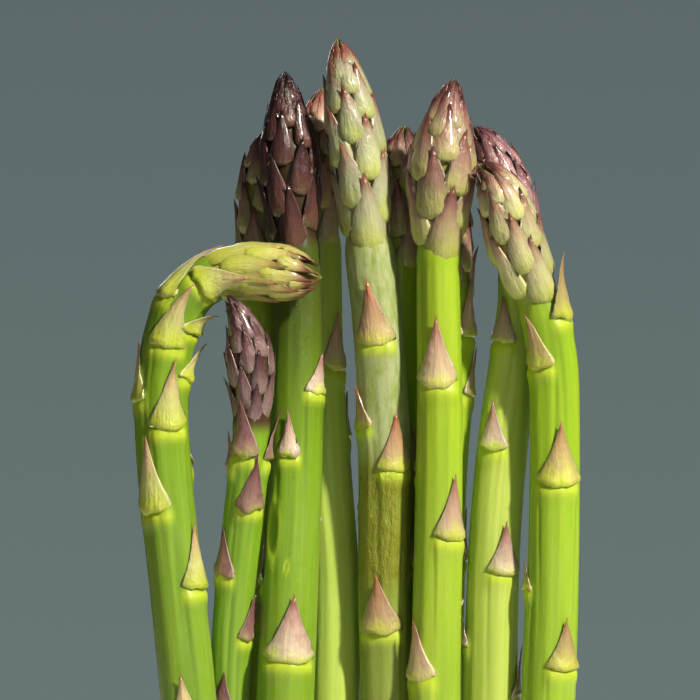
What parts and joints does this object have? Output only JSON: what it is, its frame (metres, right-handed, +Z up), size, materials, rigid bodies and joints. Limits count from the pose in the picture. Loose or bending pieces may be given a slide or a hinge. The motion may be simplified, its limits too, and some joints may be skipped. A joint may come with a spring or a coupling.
{
  "type": "asparagus bundle",
  "caption": "Tied bundle of fresh asparagus spears of uneven height that stands upright on its cut ends, one spear bent over at the top.",
  "frame": {"origin": "centre of the bundle's box on the surface that the cut ends stand on", "axes": "+Z up along the stems, +X to the bundle's right seen from the front, +Y to its back; the front faces -Y"},
  "size_m": [0.1108, 0.0454, 0.2276],
  "materials": {
    "spear_green": "waxy fresh green skin",
    "spear_yellow_green": "waxy yellow-green skin",
    "spear_grey_green": "dull grey-green skin with a pale bloom",
    "spear_purple_tip": "waxy green skin with a purple-brown head",
    "elastic_band": "plain tan rubber"
  },
  "bodies": {
    "root": {"bent_left": "spear_yellow_green", "short_purple": "spear_purple_tip", "tall_dark": "spear_purple_tip", "back_left": "spear_purple_tip", "back_centre": "spear_green", "tall_centre": "spear_grey_green", "back_right": "spear_green", "right_centre": "spear_green", "behind_right": "spear_green", "right_purple": "spear_purple_tip", "right_curved": "spear_yellow_green", "band": "elastic_band"}
  },
  "joints": []
}
